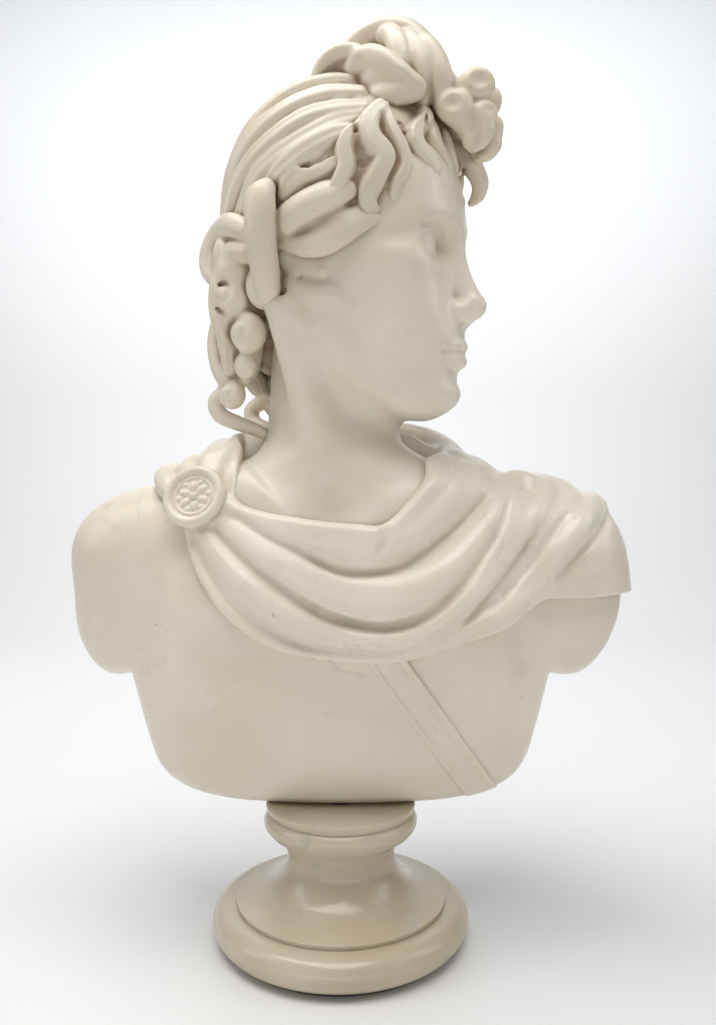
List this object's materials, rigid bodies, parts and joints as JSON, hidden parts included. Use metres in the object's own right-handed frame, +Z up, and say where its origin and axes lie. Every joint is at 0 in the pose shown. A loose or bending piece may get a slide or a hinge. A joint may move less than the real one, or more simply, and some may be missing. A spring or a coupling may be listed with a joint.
{
  "type": "marble bust",
  "caption": "Marble bust of a draped classical youth with a bow of hair, head turned aside, on a round turned marble socle.",
  "frame": {"origin": "centre of the underside of the felt pad, on the socle's axis", "axes": "+Z up along the socle's axis, -Y the way the chest faces, +X towards the draped shoulder, which the head turns to"},
  "size_m": [0.2988, 0.139, 0.4706],
  "materials": {
    "carved_marble": "satin, hand rubbed, with warm patina in the hollows",
    "polished_marble": "polished, faint grey veins",
    "dark_felt": "matte",
    "dull_lead": "dull grey, cast",
    "plain_steel": "plain"
  },
  "bodies": {
    "socle": {"socle": "polished_marble", "felt_pad": "dark_felt", "bearing_washer": "dull_lead", "clamp_washer": "plain_steel"},
    "bust": {"bust": "carved_marble", "setting_plug": "dull_lead", "centre_rod": "plain_steel", "spring_washer": "plain_steel", "clamp_nut": "plain_steel"}
  },
  "joints": [
    {"name": "bust_swivel", "type": "hinge", "parent": "socle", "child": "bust", "pos_m": [0, 0, 0.0686], "axis": [0, 0, 1], "continuous": true}
  ]
}
